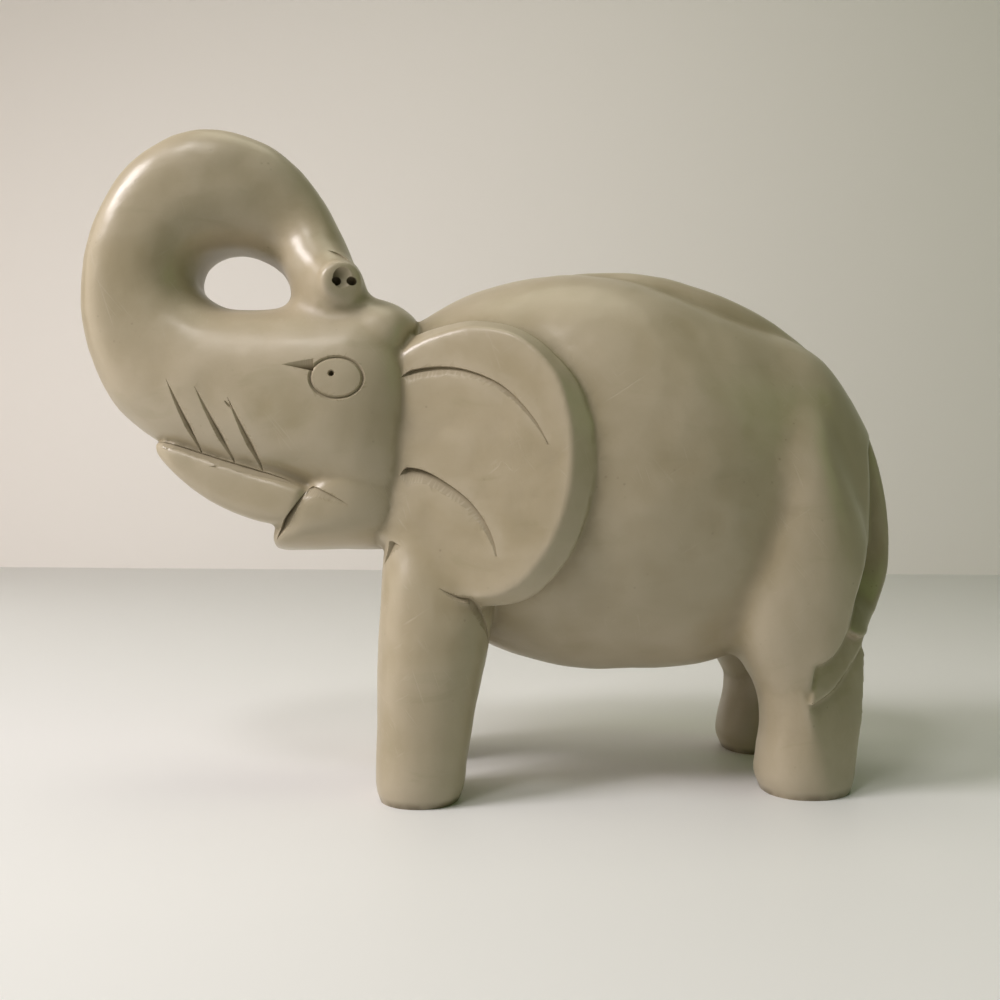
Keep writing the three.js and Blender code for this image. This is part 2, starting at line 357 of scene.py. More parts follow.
def ball(name: str, place: Place, size: Place) -> bpy.types.Object:
    """Makes a ball or an egg.

    Args:
        name: Name of the form.
        place: Its middle.
        size: Half of its length along X, Y and Z.

    Returns:
        The form.
    """
    bpy.ops.object.select_all(action="DESELECT")
    bpy.ops.mesh.primitive_uv_sphere_add(
        segments=32, ring_count=20, radius=MM, location=Vector(place) * MM
    )
    form = bpy.context.object
    form.name = name
    bpy.ops.transform.resize(value=size)
    bpy.ops.object.transform_apply(location=True, rotation=True, scale=True)
    return form


def prism(name: str, outline: Route, y_from: float, y_to: float) -> bpy.types.Object:
    """Makes a straight block from an outline of the side view.

    Args:
        name: Name of the block.
        outline: X and Z of its corners.
        y_from: Y of one end.
        y_to: Y of the other end.

    Returns:
        The block.
    """
    ends = [[(x, y, z) for x, z in outline] for y in (y_from, y_to)]
    return extruded(name, np.array(ends, float))


def cut_away(thing: bpy.types.Object, tool: bpy.types.Object, overlapping: bool = False) -> None:
    """Cuts a tool's shape out of an object.

    Args:
        thing: Object to cut.
        tool: Closed shapes that are taken away. They are used up.
        overlapping: Whether the shapes run into each other.
    """
    apply_modifier(
        thing, "BOOLEAN", operation="DIFFERENCE", solver="EXACT", object=tool, use_self=overlapping
    )
    bpy.data.objects.remove(tool)


def bisect_away(thing: bpy.types.Object, place: Vector, out: Vector) -> None:
    """Cuts off what lies beyond a plane, and closes the cut.

    Args:
        thing: Object to cut.
        place: Point of the plane, in metres.
        out: Direction in which the stone is taken away.
    """
    select_only(thing)
    bpy.ops.object.mode_set(mode="EDIT")
    bpy.ops.mesh.select_all(action="SELECT")
    bpy.ops.mesh.bisect(plane_co=place, plane_no=out, use_fill=True, clear_outer=True)
    bpy.ops.object.mode_set(mode="OBJECT")


@dataclass
class Barrel:
    """Body from the neck to the rump, with its haunches and the ridge of its spine."""

    torso: Mass = Mass(
        "torso",
        (
            rib((-36, 106), (-36, 66), 19),
            rib((-20, 115.2), (-22, 48), 23.5),
            rib((-7, 122.4), (-6, 35), 29.5),
            rib((13, 127), (14, 27.8), 34),
            rib((31, 126), (32, 26.6), 36.8),
            rib((50, 119.8), (50, 27.8), 36),
            rib((64.4, 114.4), (65, 32.6), 32),
            rib((78.4, 109.6), (78, 38), 27.5),
            rib((86.8, 101.2), (87, 44), 22),
            rib((92.6, 92), (93, 54), 16.5),
            rib((97.0, 83.6), (97.4, 62), 11),
            rib((100, 77), (99.8, 68), 6),
        ),
        fullness=2.15,
        end_share=0.05,
        columns=96,
        rows=110,
    )
    spine: Mass = Mass(
        "spine",
        (
            rib((13, 126.6), (13, 119), 3),
            rib((26, 128.4), (26, 117), 7),
            rib((38, 127.8), (37, 111.5), 8.8),
            rib((52, 124.4), (50, 107.5), 9.6),
            rib((65, 119.4), (62, 103), 8.8),
            rib((77, 112.2), (71, 97), 6.4),
            rib((86, 103.6), (78, 92), 3.4),
        ),
        fullness=2.6,
    )
    haunch_passes: int = 40
    spine_passes: int = 7
    voxel: float = 1.1
    # Heights between which the rubbing of the haunches sets in
    rubbed_from: float = 16
    rubbed_to: float = 40
    # Edge where the haunches end over the tail and the rear legs, as it would run in the middle
    # plane. It closes in towards edge_centre on both sides.
    haunch_edge: Route = (
        (100, 95),
        (98.4, 88.3),
        (97.6, 83.1),
        (98.0, 75.7),
        (98.1, 69.9),
        (97.7, 59.5),
        (96.4, 51.4),
        (94.1, 43.5),
        (92.4, 36.6),
        (90.4, 31.9),
        (88.2, 28.9),
        (86, 27.3),
        (83.4, 26.4),
        (82.2, 20),
        (81.6, 0),
        (81.6, -20),
        (150, -20),
        (150, 95),
    )
    edge_centre: Point = (-17.5, 68.5)
    edge_share: float = 0.766
    half_block: float = 60

    def edge_block(self) -> bpy.types.Object:
        """Makes the block that is cut away behind the haunches."""
        centre, edge = np.array(self.edge_centre), np.array(self.haunch_edge)
        sections = []
        for side in (-1, 0, 1):
            outline = centre + (edge - centre) * (self.edge_share if side else 1)
            y = np.full(len(edge), side * self.half_block)
            sections.append(np.stack([outline[:, 0], y, outline[:, 1]], axis=-1))
        return extruded("haunch_edge", np.array(sections))

    def build(self, thighs: list[bpy.types.Object]) -> bpy.types.Object:
        """Makes the body with the thighs grown into it.

        Args:
            thighs: Masses of the two rear legs. They are used up.

        Returns:
            The body, its haunches ending in a crisp edge.
        """
        barrel = joined("barrel", [self.torso.build(), *thighs])
        refine(barrel, self.voxel)
        height = positions(barrel)[:, 2]
        weigh(barrel, "haunches", (height - self.rubbed_from) / (self.rubbed_to - self.rubbed_from))
        rub(barrel, self.haunch_passes, "haunches")
        barrel = joined("barrel", [barrel, self.spine.build()])
        refine(barrel, self.voxel)
        rub(barrel, self.spine_passes)
        cut_away(barrel, self.edge_block())
        return barrel


@dataclass
class RearLeg:
    """Thigh and rear leg. The far one stands further out and further back."""

    side: Side
    near_middle: float = 20.3
    far_middle: float = 22.3
    set_back: float = 3.0
    facet_place: Place = (69.4, 30.9, 22)
    facet_turn: float = 33.0
    facet_lean: float = 0.15

    def __post_init__(self) -> None:
        """Settles where the leg stands."""
        far = self.side is Side.FAR
        self.back = self.set_back if far else 0.0
        self.y = self.side.value * (self.far_middle if far else self.near_middle)

    def thigh(self) -> bpy.types.Object:
        """Makes the leg as it grows out of the body."""
        back, y = self.back, self.y
        return Mass(
            f"{self.side.name.lower()}_thigh",
            (
                rib((69 + back, 100), (78, 100), 5.5, y * 0.76),
                rib((63 + back, 91), (80.5, 90), 10.4, y * 0.87),
                rib((60 + back, 81), (82.5, 79), 13, y * 0.97),
                rib((58.4 + back, 65), (87, 64), 14.6, y),
                rib((54.4 + back, 47), (90, 46), 14.9, y),
                rib((54.6 + back, 37.5), (89, 35), 13.2, y),
                rib((58.4 + back, 30), (88, 28), 11.8, y),
                rib((62.8 + back, 22), (84, 21), 9.4, y),
                rib((65 + back, 14), (79, 14), 6, y),
            ),
            fullness=2.9,
            lower_fullness=1.62,
            start_share=0.12,
            end_share=0.06,
        ).build()

    def shank(self) -> bpy.types.Object:
        """Makes the leg under the haunch, its rear outer quarter pared flat."""
        back, y = self.back, self.y
        leg = Mass(
            f"{self.side.name.lower()}_shank",
            (
                rib((66 + back, 54), (79, 54), 5, y * 0.95),
                rib((60.5 + 2 * back, 44), (85, 42), 9, y),
                rib((57.4 + 2.2 * back, 35), (90.6, 33.6), 11.7, y),
                rib((59 + 2.2 * back, 29.5), (89.5 + back / 2, 28.5), 11.6, y),
                rib((61.4 + 1.6 * back, 23.5), (88.3 + back / 2, 22.5), 11.2, y),
                rib((62.2 + 1.2 * back, 16), (86.9 + back / 2, 15), 10.9, y),
                rib((61.2 + back, 8.6), (85.4 + back / 2, 8), 10.9, y),
                rib((60.8 + back, 4), (84.5 + back / 2, 4), 11, y),
                rib((62 + back, 0.9), (83.4 + back / 2, 0.9), 10.4, y),
                rib((64 + back, -4), (79.6 + back, -4), 8, y),
            ),
            fullness=2.3,
            start_share=0.12,
            end_share=0.02,
            rows=96,
        ).build()
        x, y, z = self.facet_place
        y += abs(self.y) - self.near_middle
        turn = math.radians(self.facet_turn)
        out = Vector((math.sin(turn), self.side.value * math.cos(turn), self.facet_lean))
        bisect_away(leg, Vector((x + self.back, self.side.value * y, z)) * MM, out)
        return leg


@dataclass
class FrontLeg:
    """Column of a front leg, its top hidden behind the ear."""

    side: Side
    middle: float = 20.8

    def build(self) -> bpy.types.Object:
        """Makes the leg, run on below the ground."""
        y = self.side.value * self.middle
        mass = Mass(
            f"{self.side.name.lower()}_front_leg",
            (
                rib((-25, 74), (-9, 74), 5, y * 0.75),
                rib((-27.6, 64), (-6, 64), 7, y * 0.78),
                rib((-28.6, 56), (-3, 56), 9, y * 0.86),
                rib((-29.2, 46), (-2.4, 46), 10.6, y * 0.94),
                rib((-29.6, 34), (-4, 34), 11.2, y * 0.98),
                rib((-29.9, 20), (-7, 20), 11.2, y),
                rib((-30.1, 8), (-9, 8), 11.2, y),
                rib((-30.1, 3.6), (-9.6, 3.6), 11.1, y),
                rib((-29.4, 0.9), (-10.4, 0.9), 10.4, y),
                rib((-27, -4), (-13, -4), 8, y),
            ),
            fullness=2.2,
            start_share=0.12,
            end_share=0.02,
            rows=96,
        )
        return mass.build()


@dataclass
class Head:
    """Skull and trunk in one mass, round the curl to the snout on the forehead."""

    mass: Mass = Mass(
        "head",
        (
            rib((-20.8, 110), (-22, 64), 17),
            rib((-22.9, 114), (-27, 61), 22.4),
            rib((-27, 118.6), (-33, 62), 24.9),
            rib((-33, 119.6), (-40, 66), 26),
            rib((-43, 118.2), (-50, 71.5), 25.4),
            rib((-57, 117.2), (-68, 77), 22.6),
            rib((-66.5, 117.2), (-83, 83.2), 20.4),
            rib((-71.5, 119.2), (-93.8, 92.2), 18.6),
            rib((-74.8, 122.4), (-100.4, 106.2), 17.4),
            rib((-75.2, 126), (-102.4, 122), 16.8),
            rib((-73.5, 129.6), (-98.9, 138.2), 16.6),
            rib((-69.5, 131.6), (-90.4, 152.2), 16),
            rib((-64, 132), (-74.5, 161.1), 15),
            rib((-58.6, 130), (-57.6, 158), 13),
            rib((-54.4, 126.6), (-46.4, 148.2), 11.4, -0.4),
            rib((-52.0, 121.8), (-39.6, 136.6), 11.2, -2.4),
            rib((-50.6, 117), (-35.2, 126), 11.6, -4.4),
            rib((-46.5, 112), (-33.2, 117), 10.6, -5.6),
        ),
        fullness=2.45,
        lower_fullness=3.1,
        start_share=0.02,
        end_share=0.03,
        columns=96,
        rows=150,
    )
    # Bulge at the back of the crown that overhangs the neck
    crown: Mass = Mass(
        "crown",
        (
            rib((-40, 118), (-38, 102), 18),
            rib((-32, 120.2), (-31, 93), 22),
            rib((-26.6, 119), (-26.4, 97), 21.5),
            rib((-22.6, 116.2), (-22.6, 105), 18),
            rib((-20.3, 113.6), (-20.5, 110.2), 12),
        ),
        fullness=2.4,
        end_share=0.08,
    )
    crown_place: Place = (-28, -15, 112)
    crown_radius: float = 13
    crown_passes: int = 24
    snout_tip: Place = (-38.0, -20.8, 120.9)
    snout_direction: Place = (0.32, -0.945, -0.06)
    # Reach behind the tip, and half the width and half the height there
    snout_profile: tuple[tuple[float, float, float], ...] = (
        (18, 8.8, 8.0),
        (11, 8.2, 7.8),
        (5, 7.4, 7.2),
        (2, 6.6, 6.4),
        (0.6, 5.6, 5.6),
        (0, 4, 4),
    )
    # The same for the rim round the nostrils
    rim_profile: tuple[tuple[float, float, float], ...] = (
        (9, 5.3, 5.2),
        (1.2, 5.2, 5.1),
        (0.3, 4.7, 4.6),
        (0, 3.8, 3.8),
    )
    knuckle_place: Place = (-45.4, -8.4, 127.6)
    knuckle_size: Place = (8.6, 8.2, 8.4)
    voxel: float = 0.7
    blend_centre: Place = (-44, -10, 127)
    blend_radius: float = 25
    blend_passes: int = 130
    rub_passes: int = 3

    def stub(self, name: str, profile: tuple[tuple[float, float, float], ...]) -> bpy.types.Object:
        """Makes the stub of the snout or its rim, before the nostrils are bored.

        Args:
            name: Name of the form.
            profile: Reach behind the tip, and half the width and half the height there.

        Returns:
            The form, its flat end at the tip.
        """
        turn = Vector((0, 0, -1)).rotation_difference(Vector(self.snout_direction))
        angle = np.linspace(0, 2 * np.pi, 40, endpoint=False)
        sections = []
        for back, half_width, half_height in profile:
            ring = [
                Vector((half_width * math.cos(a), half_height * math.sin(a), back)) for a in angle
            ]
            sections.append([Vector(self.snout_tip) + turn @ point for point in ring])
        return extruded(name, np.array(sections))

    def knuckle(self) -> bpy.types.Object:
        """Makes the knuckle where the snout turns out of the trunk."""
        return ball("knuckle", self.knuckle_place, self.knuckle_size)

    def build(self) -> bpy.types.Object:
        """Makes the head and rubs the trunk's end and the knuckle into each other."""
        stub = self.stub("snout", self.snout_profile)
        head = joined("head", [self.mass.build(), self.knuckle(), stub])
        refine(head, self.voxel)
        rub_near(head, self.blend_centre, self.blend_radius, self.blend_passes)
        head = joined("head", [head, self.crown.build(), self.stub("rim", self.rim_profile)])
        refine(head, self.voxel)
        rub(head, self.rub_passes)
        rub_near(head, self.crown_place, self.crown_radius, self.crown_passes)
        return head


@dataclass
class Face:
    """Lower face: the tusks, the lip between them and the jaw."""

    lip: Mass = Mass(
        "lip",
        (
            rib((-34, 92), (-40, 64), 19),
            rib((-50, 91), (-54, 64.8), 19.5),
            rib((-66, 92), (-67, 69.0), 17),
            rib((-82, 94), (-78.6, 78.6), 11.5),
        ),
        fullness=3.2,
        start_share=0.1,
        end_share=0.12,
    )
    jaw: Mass = Mass(
        "jaw",
        (
            rib((-20, 88), (-20, 57.8), 17),
            rib((-27.5, 88), (-28, 57.6), 22),
            rib((-34, 86), (-35, 57.5), 23.6),
            rib((-42, 79), (-43, 57.5), 23.4),
            rib((-47.4, 73.4), (-49.4, 57.5), 22.6),
            rib((-51.4, 70), (-53.2, 57.6), 20.6),
            rib((-53.6, 65.4), (-54.8, 58.4), 17.6),
        ),
        fullness=3.4,
        start_share=0.04,
        end_share=0.03,
    )
    mouth: Route = ((-46.5, 69.2), (-62, 61.6), (-62, 63.4))
    half_mouth: float = 11
    voxel: float = 0.6

    def tusk(self, side: Side) -> bpy.types.Object:
        """Makes a tusk in low relief along the lower edge of the face."""
        s = side.value
        mass = Mass(
            f"{side.name.lower()}_tusk",
            (
                rib((-46.4, 72.6), (-50.2, 64.0), 6, s * 17.2),
                rib((-51.4, 74.4), (-56, 64.5), 6, s * 16.4),
                rib((-60, 76.9), (-65, 67.3), 6, s * 15),
                rib((-70, 80.0), (-73, 71.9), 5.6, s * 13.6),
                rib((-79, 82.9), (-79.6, 77.8), 4, s * 13),
                rib((-83.0, 83.6), (-82.6, 81.2), 1.6, s * 12.4),
            ),
            fullness=4.2,
            start_share=0.03,
            end_share=0.04,
            columns=64,
        )
        return mass.build()

    def build(self, head: bpy.types.Object) -> bpy.types.Object:
        """Adds the lower face to the head and opens the mouth.

        Args:
            head: Skull and trunk. It is used up.

        Returns:
            The whole head.
        """
        tusks = [self.tusk(side) for side in Side]
        whole = joined("head", [head, self.lip.build(), self.jaw.build(), *tusks])
        refine(whole, self.voxel)
        cut_away(whole, prism("mouth", self.mouth, -self.half_mouth, self.half_mouth))
        return whole


@dataclass
class Ear:
    """Ear: a leaf with a sloping rim, leaning out from the head to its rear edge."""

    side: Side
    reach_at_head: float = 22.0
    head_x: float = -24.0
    lean: float = 0.42
    # The face bends in above this height and out below it, by these reaches at its edges
    bend_height: float = 84.0
    half_height: float = 27.0
    bend_in: float = 1.8
    bend_out: float = 1.6
    thickness: float = 18.0
    rim_drop: float = 4.6
    lip_radius: float = 0.8
    points: int = 96
    face: Route = (
        (-30, 99),
        (-31.4, 64),
        (-24.1, 57.4),
        (-15.4, 50.0),
        (-6.6, 47.6),
        (1.2, 50.0),
        (7.9, 57.4),
        (12.3, 67.4),
        (13.9, 76.3),
        (13.5, 87.4),
        (10.1, 98.5),
        (2.3, 106.8),
        (-7.7, 109.6),
        (-15.4, 108.4),
        (-23, 105.2),
    )
    rim: Route = (
        (-31, 100),
        (-32, 62),
        (-24.1, 54.8),
        (-15.4, 47.8),
        (-6, 45.5),
        (5, 47.8),
        (12.4, 55.2),
        (17.2, 66.0),
        (19.0, 77),
        (18.0, 88.6),
        (13.2, 99.8),
        (3.6, 108.8),
        (-7.7, 111.8),
        (-15.4, 110.8),
        (-24, 107.6),
    )

    def outline(self, route: Route) -> np.ndarray:
        """Gives a closed smooth outline of the side view, X and Z in each row."""
        stops = np.array([*route, route[0]])
        return Curve(stops).at(np.linspace(0, 1, self.points, endpoint=False))

    def reach(self, x: np.ndarray, z: np.ndarray) -> np.ndarray:
        """Gives how far the ear's face stands out from the middle plane."""
        above = (z - self.bend_height) / self.half_height
        bend = above**2 * np.where(above > 0, -self.bend_in, self.bend_out)
        return self.reach_at_head + (x - self.head_x) * self.lean + bend

    def build(self) -> bpy.types.Object:
        """Makes the ear, its face in steps so that it can bend."""
        face, rim = self.outline(self.face), self.outline(self.rim)
        middle = np.array([face[:, 0].mean(), self.bend_height])
        layers = [(rim, self.thickness), (rim, self.rim_drop), (face, self.lip_radius * 0.4)]
        for share in (1 - self.lip_radius / self.half_height, 0.8, 0.6, 0.4, 0.2, 0.05):
            layers.append((middle + (face - middle) * share, 0))
        sections = []
        for outline, drop in layers:
            y = self.side.value * (self.reach(*outline.T) - drop)
            sections.append(np.stack([outline[:, 0], y, outline[:, 1]], axis=-1))
        return extruded(f"{self.side.name.lower()}_ear", np.array(sections))


@dataclass
class Tail:
    """Strap down the rump that swings over the near rear leg and ends in a leaf-shaped tuft."""

    mass: Mass = Mass(
        "tail",
        (
            rib((84, 104.4), (78, 96), 3.2),
            rib((90, 99.4), (82, 90), 3.8),
            rib((95.6, 89.6), (86, 84), 4.2),
            rib((100, 78), (88, 75), 4.4),
            rib((102.3, 64), (90, 65), 4.4),
            rib((101.4, 51), (90, 55), 4.6, -1),
            rib((96.6, 42.4), (87, 49), 5.0, -5),
            rib((92.2, 38.8), (83.5, 45.6), 5.2, -11),
            rib((89, 37), (80, 42.6), 4.6, -16),
            rib((86, 36), (78, 40), 3.4, -19.4),
        ),
        fullness=3.4,
        start_share=0.05,
        end_share=0.04,
        columns=48,
        rows=110,
    )
    # Outline of the tuft, a leaf that lies on the pared flat of the near rear leg
    tuft: Route = (
        (70.2, 22.4),
        (73.2, 32.0),
        (80.0, 38.0),
        (86.0, 40.0),
        (89.6, 36.4),
        (87.7, 33.6),
        (81.9, 27.9),
        (76.9, 24.3),
    )
    tuft_height: float = 1.3
    tuft_depth: float = 5.0

    def tuft_leaf(self, leg: RearLeg) -> bpy.types.Object:
        """Makes the tuft.

        Args:
            leg: Rear leg that it lies on.

        Returns:
            The tuft, a flat leaf that stands a little out of the leg.
        """
        x, y, z = leg.facet_place
        turn = math.radians(leg.facet_turn)
        sections = []
        for height in (-self.tuft_depth, self.tuft_height):
            ring = []
            for a, b in self.tuft:
                out = (a - x) * math.sin(turn) + (b - z) * leg.facet_lean - height
                ring.append((a, out / math.cos(turn) - y, b))
            sections.append(ring)
        return extruded("tuft", np.array(sections, float))

    def build(self, leg: RearLeg) -> bpy.types.Object:
        """Makes the tail.

        Args:
            leg: Rear leg that the tuft lies on.

        Returns:
            The strap and the tuft.
        """
        return joined("tail", [self.mass.build(), self.tuft_leaf(leg)])


@dataclass
class Surface:
    """The carved surface, asked for its place under a point of the side view."""

    thing: bpy.types.Object
    reach: float = 60.0

    def __post_init__(self) -> None:
        """Takes up the object's mesh."""
        select_only(self.thing)
        self.tree = BVHTree.FromObject(self.thing, bpy.context.evaluated_depsgraph_get())

    def under(self, x: float, z: float, side: Side) -> tuple[np.ndarray, np.ndarray]:
        """Finds the surface from one side.

        Args:
            x: X of the point.
            z: Z of the point.
            side: Side that it is looked at from.

        Returns:
            The place on the surface, in millimetres, and the direction out of it.
        """
        start = Vector((x, side.value * self.reach, z)) * MM
        place, normal, _, _ = self.tree.ray_cast(start, Vector((0, -side.value, 0)))
        if place is None:
            raise ValueError(f"nothing is under X {x:.1f}, Z {z:.1f}")
        return np.array(place) / MM, np.array(normal)


@dataclass(frozen=True)
class KnifeCut:
    """V-shaped cut along a route of the side view, laid on the surface."""

    name: str
    route: Route
    half_width: float
    depth: float
    taper: Taper = Taper.LEAF
    # Where the bottom lies across the cut: 0 in the middle, 1 under its upper lip
    bias: float = 0.0
    lift: float = 0.8
    steps: int = 40
    # How far the knife is held square to the side view, the rest being square to the skin
    held_square: float = 0.6

    def tool(self, surface: Surface, side: Side) -> bpy.types.Object:
        """Makes the shape that the cut takes away.

        Args:
            surface: Surface that is cut.
            side: Side of the body that the cut is on.

        Returns:
            The closed shape.
        """
        shares = np.linspace(0, 1, self.steps)
        way = Curve(np.array(self.route)).at(shares)
        found = [surface.under(x, z, side) for x, z in way]
        places = np.array([place for place, _ in found])
        normals = np.array([normal for _, normal in found])
        out = np.array([0, side.value, 0]) * self.held_square + normals * (1 - self.held_square)
        out /= np.linalg.norm(out, axis=1)[:, None]
        along = np.gradient(places, axis=0)
        along /= np.linalg.norm(along, axis=1)[:, None]
        across = np.cross(along, out)
        across *= np.where(across[:, 2:] < 0, -1, 1)
        size = np.array([self.taper.size(share) for share in shares])[:, None]
        width = self.half_width * size
        spread = 1 + self.lift / self.depth
        floor = places - out * self.depth * size + across * self.bias * width
        upper = floor + (places + across * width - floor) * spread
        lower = floor + (places - across * width - floor) * spread
        return extruded(self.name, np.stack([upper, lower, floor], axis=1))


@dataclass
class Eye:
    """Eye: an oval ring and a drilled pupil. The wedge at its corner is one of the knife cuts."""

    centre: Point = (-39.0, 97.8)
    half_length: float = 6.0
    half_height: float = 4.7
    ring_half_width: float = 0.55
    ring_depth: float = 0.7
    # Corners of the ring's groove, in half widths outward and in depths below the skin
    ring_profile: Route = ((0, 1), (1, 0), (2.2, -1.2), (-2.2, -1.2), (-1, 0))
    pupil: Point = (-40.2, 98.8)
    pupil_mouth: float = 1.3
    pupil_floor: float = 0.35
    pupil_depth: float = 1.6
    steps: int = 96

    def ring(self, surface: Surface, side: Side) -> bpy.types.Object:
        """Makes the shape of the ring groove, a closed band laid on the surface."""
        angle = np.linspace(0, 2 * np.pi, self.steps, endpoint=False)
        rings = []
        for grow, sink in self.ring_profile:
            x = self.centre[0] + (self.half_length + grow * self.ring_half_width) * np.cos(angle)
            z = self.centre[1] + (self.half_height + grow * self.ring_half_width) * np.sin(angle)
            y = [surface.under(a, b, side)[0][1] for a, b in zip(x, z)]
            rings.append(np.stack([x, np.array(y) - side.value * sink * self.ring_depth, z], axis=-1))
        sections = np.stack(rings, axis=1)
        band = extruded("eye_ring", np.concatenate([sections, sections[:1]]))
        return self.closed_band(band)

    def closed_band(self, band: bpy.types.Object) -> bpy.types.Object:
        """Joins the two ends of a band into a ring.

        Args:
            band: Band whose first and last sections lie on each other.

        Returns:
            The ring, with no walls inside.
        """
        select_only(band)
        bpy.ops.object.mode_set(mode="EDIT")
        shape = bmesh.from_edit_mesh(band.data)
        ends = [face for face in shape.faces if len(face.verts) == len(self.ring_profile)]
        bpy.ops.mesh.select_all(action="DESELECT")
        for face in ends:
            face.select = True
        bpy.ops.mesh.delete(type="ONLY_FACE")
        bpy.ops.mesh.select_all(action="SELECT")
        bpy.ops.mesh.remove_doubles(threshold=1e-6)
        bpy.ops.mesh.normals_make_consistent(inside=False)
        bpy.ops.object.mode_set(mode="OBJECT")
        return band

    def drill(self, surface: Surface, side: Side) -> bpy.types.Object:
        """Makes the shape of the drilled pupil."""
        place, _ = surface.under(*self.pupil, side)
        bpy.ops.object.select_all(action="DESELECT")
        bpy.ops.mesh.primitive_cone_add(
            vertices=24,
            radius1=self.pupil_floor * MM,
            radius2=self.pupil_mouth * MM,
            depth=2 * self.pupil_depth * MM,
            location=Vector(place) * MM,
            rotation=(side.value * -math.pi / 2, 0, 0),
        )
        drill = bpy.context.object
        drill.name = "pupil"
        bpy.ops.object.transform_apply(location=True, rotation=True, scale=True)
        return drill

    def tools(self, surface: Surface, side: Side) -> list[bpy.types.Object]:
        """Makes the shapes of the ring and the pupil."""
        return [self.ring(surface, side), self.drill(surface, side)]


@dataclass
class Knifework:
    """All the knife cuts of the carving."""

    eye: Eye = field(default_factory=Eye)
    strokes: tuple[KnifeCut, ...] = (
        KnifeCut("stroke_1", ((-78.6, 97.7), (-70.9, 80.2)), 0.85, 1.2, Taper.BLADE),
        KnifeCut("stroke_2", ((-71.8, 95.9), (-62.8, 77.6)), 0.95, 1.2, Taper.BLADE),
        KnifeCut("stroke_3", ((-64.1, 93.4), (-56.2, 75.8)), 0.95, 1.2, Taper.BLADE),
    )
    branches: tuple[KnifeCut, ...] = (
        KnifeCut("stroke_fork", ((-64.9, 92.6), (-62.9, 90.6)), 0.3, 0.5),
        KnifeCut("eye_corner", ((-51.6, 100.9), (-44.3, 100.9)), 1.7, 1.5, Taper.WEDGE, bias=-0.8),
        KnifeCut(
            "mouth_line", ((-45.8, 72.3), (-41.9, 70.9), (-36.6, 68.6)), 1.3, 0.8, Taper.TAIL, bias=0.85
        ),
    )
    folds: tuple[KnifeCut, ...] = (
        KnifeCut(
            "upper_fold",
            ((-24.6, 98.2), (-17.8, 99.6), (-11, 99.2), (-2.1, 95.4), (4.5, 88.8), (8.6, 82)),
            1.25,
            1.3,
            Taper.TAIL,
            bias=0.88,
        ),
        KnifeCut(
            "lower_fold",
            ((-24.6, 75.4), (-20.4, 75.4), (-14.6, 72.6), (-8.8, 68.2), (-4.6, 62.2), (-2.8, 57)),
            1.9,
            1.4,
            Taper.TAIL,
            bias=0.9,
        ),
        KnifeCut(
            "mouth_corner",
            ((-46.3, 71.8), (-49.6, 66.2), (-53.2, 60.6)),
            0.9,
            1.7,
            Taper.BLADE,
            bias=0.75,
        ),
    )
    leg_notch: KnifeCut = KnifeCut(
        "leg_notch", ((-26.2, 60.2), (-28.2, 54.8)), 1.5, 0.9, Taper.TAIL, bias=-0.3
    )
    tusk_line: KnifeCut = KnifeCut(
        "tusk_line",
        ((-48.8, 73.2), (-52, 74.5), (-60, 76.8), (-70, 79.9), (-79, 82.8), (-83, 83.7)),
        0.8,
        0.7,
        bias=0.85,
    )
    tuft_edge: KnifeCut = KnifeCut(
        "tuft_edge", ((71.8, 22.8), (77.2, 24.5), (82.4, 28.3), (88.6, 34.6)), 0.9, 0.7, bias=0.8
    )
    leg_crease: KnifeCut = KnifeCut(
        "leg_crease",
        ((-15.4, 49.6), (-11.6, 47.5), (-8.2, 46.4), (-5.3, 42), (-3.9, 36)),
        0.9,
        0.9,
        bias=0.3,
    )
    snout_crease: KnifeCut = KnifeCut(
        "snout_crease", ((-41.8, 129.3), (-39.0, 128.3), (-36.6, 126.4)), 0.45, 0.5
    )
    snout_dish: Place = (-37.8, -20.9, 121.8)
    dish_size: Place = (3.7, 0.9, 2.5)
    nostrils: tuple[Place, ...] = ((-39.6, -20.0, 121.0), (-36.0, -19.6, 121.2))
    nostril_size: Place = (1.2, 2.2, 1.1)

    def tools(self, surface: Surface) -> bpy.types.Object:
        """Makes the shapes that all the cuts take away.

        Args:
            surface: Surface that is cut.

        Returns:
            The shapes as one object. Some of them run into each other.
        """
        shapes = [ball("snout_dish", self.snout_dish, self.dish_size)]
        shapes += [cut.tool(surface, Side.NEAR) for cut in (self.snout_crease, self.tuft_edge)]
        for side in Side:
            shapes += self.eye.tools(surface, side)
            shapes += [cut.tool(surface, side) for cut in (*self.strokes, *self.folds)]
        shapes += [ball("nostril", place, self.nostril_size) for place in self.nostrils]
        more = (*self.branches, self.tusk_line, self.leg_crease, self.leg_notch)
        for side in Side:
            shapes += [cut.tool(surface, side) for cut in more]
        return joined("knifework", shapes)


